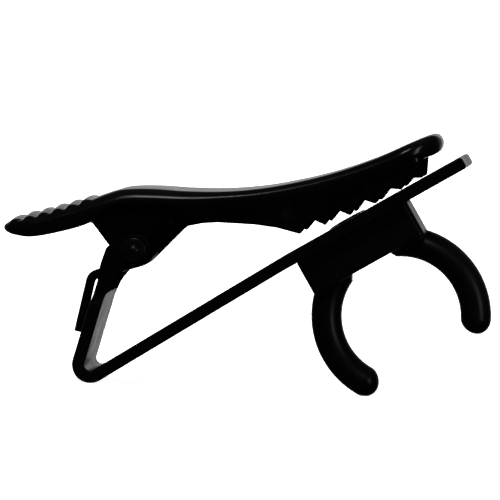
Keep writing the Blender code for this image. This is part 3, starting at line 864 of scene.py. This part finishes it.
def floor_mesh():
    """A round sheet that curves up into a wall far from the clip, seen from inside."""
    profile = [(FLOOR_RADIUS, 0.0)]
    for i in range(1, FLOOR_CURVE_STEPS + 1):
        swing = math.radians(90 * i / FLOOR_CURVE_STEPS)
        profile.append((FLOOR_RADIUS + FLOOR_CURVE * math.sin(swing), FLOOR_CURVE * (1 - math.cos(swing))))
    profile.append((FLOOR_RADIUS + FLOOR_CURVE, WALL_HEIGHT))
    mesh = bmesh.new()
    loops = []
    for radius, height in profile:
        turns = [2 * math.pi * i / FLOOR_SIDES for i in range(FLOOR_SIDES)]
        loops.append([mesh.verts.new((radius * math.cos(t), radius * math.sin(t), height)) for t in turns])
    mesh.faces.new(loops[0])
    for low, high in zip(loops, loops[1:]):
        for i in range(FLOOR_SIDES):
            j = (i + 1) % FLOOR_SIDES
            mesh.faces.new((low[j], low[i], high[i], high[j]))
    data = bpy.data.meshes.new("studio_floor")
    mesh.to_mesh(data)
    mesh.free()
    return data


def make_floor():
    """Pale paper that lights nothing, is not mirrored in the clip, and stays pale under it."""
    floor = link("studio_floor", floor_mesh())
    floor.data.shade_smooth()
    material = bpy.data.materials.new("pale_paper")
    material.use_nodes = True
    tree = material.node_tree
    shader = tree.nodes["Principled BSDF"]
    shader.inputs["Roughness"].default_value = 0.9
    shader.inputs["Specular IOR Level"].default_value = 0.0
    shader.inputs["Emission Color"].default_value = (1.0, 1.0, 1.0, 1.0)
    shader.inputs["Emission Strength"].default_value = FLOOR_GLOW
    place = tree.nodes.new("ShaderNodeTexCoord").outputs["Object"]
    mottle = noise(tree, place, 40.0, 4.0)
    tree.links.new(mixed(tree, mottle, (0.93, 0.93, 0.93), (0.96, 0.96, 0.96)), shader.inputs["Base Color"])
    dress(floor, material)
    floor.visible_glossy = False
    floor.visible_diffuse = False
    floor.visible_shadow = False


def make_world():
    """A soft surround: dark in front and at the sides, pale behind."""
    world = bpy.data.worlds.new("studio")
    bpy.context.scene.world = world
    world.use_nodes = True
    tree = world.node_tree
    background = tree.nodes["Background"]
    place = tree.nodes.new("ShaderNodeTexCoord").outputs["Generated"]
    parts = node(tree, "ShaderNodeSeparateXYZ", Vector=place)
    behind = span(tree, parts.outputs["Y"], WORLD_PALES_FROM, WORLD_PALEST_AT, WORLD_FRONT, WORLD_BEHIND)
    tree.links.new(behind, background.inputs["Strength"])
    background.inputs["Color"].default_value = (1.0, 1.0, 1.0, 1.0)


def sight_line(azimuth, elevation):
    """The direction from the clip to an azimuth and elevation. Azimuth 0 is in front, at -Y."""
    azimuth, elevation = math.radians(azimuth), math.radians(elevation)
    level = math.cos(elevation)
    return Vector((math.sin(azimuth) * level, -math.cos(azimuth) * level, math.sin(elevation)))


def soft_box(name, azimuth, elevation, width, height, radiance):
    """A rectangular soft light aimed at the clip. Its width and height are angles seen from the clip."""
    toward = sight_line(azimuth, elevation)
    lamp = bpy.data.lights.new(name, "AREA")
    lamp.shape = "RECTANGLE"
    lamp.size = LIGHT_DISTANCE * math.radians(width)
    lamp.size_y = LIGHT_DISTANCE * math.radians(height)
    lamp.energy = radiance * math.pi * lamp.size * lamp.size_y
    obj = link(name, lamp)
    obj.location = Vector(VIEW_TARGET) * MM + toward * LIGHT_DISTANCE
    obj.rotation_euler = toward.to_track_quat("Z", "Y").to_euler()


def make_lights():
    for name, azimuth, elevation, width, height, radiance in SOFT_BOXES:
        soft_box(name, azimuth, elevation, width, height, radiance)
    sun = bpy.data.lights.new("overhead", "SUN")
    sun.energy = SUN_STRENGTH
    sun.angle = math.radians(SUN_SPREAD)
    overhead = link("overhead", sun)
    overhead.rotation_euler = (math.radians(SUN_TILT[0]), math.radians(SUN_TILT[1]), 0.0)
    overhead.visible_glossy = False


def make_camera():
    """Sees the clip from its side, a little from the nose end and slightly above, with a small roll."""
    toward = sight_line(VIEW_AZIMUTH, VIEW_ELEVATION)
    roll = Matrix.Rotation(-math.radians(VIEW_ROLL), 3, "Y")
    upright = toward.to_track_quat("Z", "Y").to_matrix()
    turn = (roll @ upright).to_4x4()
    data = bpy.data.cameras.new("camera")
    data.sensor_width = 36.0
    data.lens = data.sensor_width * VIEW_DISTANCE / VIEW_WIDTH
    data.clip_start = 0.01
    data.clip_end = 20.0
    camera = link("camera", data)
    place = (Vector(VIEW_TARGET) + roll @ toward * VIEW_DISTANCE) * MM
    camera.matrix_world = Matrix.Translation(place) @ turn
    bpy.context.scene.camera = camera


def main():
    plastic = surface("black_moulded_plastic", *PLASTIC_BLACKS, (0.16, 0.23), 0.53, 0.35, 0.0012)
    matte_plastic = surface("black_matte_plastic", *PLASTIC_BLACKS, (0.55, 0.62), 0.53, 0.3, 0.0014,
                            specular=0.0)
    ring_plastic = surface("black_ring_plastic", *PLASTIC_BLACKS, (0.3, 0.37), 0.53, 0.3, 0.0014,
                           specular=0.35)
    coating = surface("black_coated_steel", *COATING_BLACKS, (0.22, 0.34), 0.54, 0.22, 0.0016,
                      specular=0.25)
    matte_coating = surface("black_matte_coating", *COATING_BLACKS, (0.5, 0.6), 0.54, 0.22, 0.0016,
                            specular=0.0)
    blackened = surface("blackened_steel", (0.02, 0.02, 0.022), (0.045, 0.045, 0.048),
                        (0.16, 0.16, 0.165), (0.2, 0.34), 0.53, 0.12, 0.0008, metallic=0.9)
    wire = surface("blackened_wire", (0.012, 0.012, 0.013), (0.03, 0.03, 0.032),
                   (0.1, 0.1, 0.105), (0.22, 0.36), 0.55, 0.1, 0.0006, metallic=0.9)
    steel = surface("washer_steel", (0.3, 0.3, 0.31), (0.42, 0.42, 0.43),
                    (0.6, 0.6, 0.6), (0.25, 0.4), 0.53, 0.08, 0.0006, metallic=1.0)
    dress_in_two(make_jaw(), coating, matte_coating, is_on_ear)
    dress_in_two(make_lever(), plastic, matte_plastic, is_under_plate)
    dress(make_holder(), ring_plastic)
    dress(make_pin(), blackened)
    dress(make_rivet(), blackened)
    dress(make_spring(), wire)
    dress(frame["nodes"]["friction_washer"], steel)
    make_floor()
    make_world()
    make_lights()
    make_camera()
    bpy.context.scene.view_settings.view_transform = "Standard"


main()
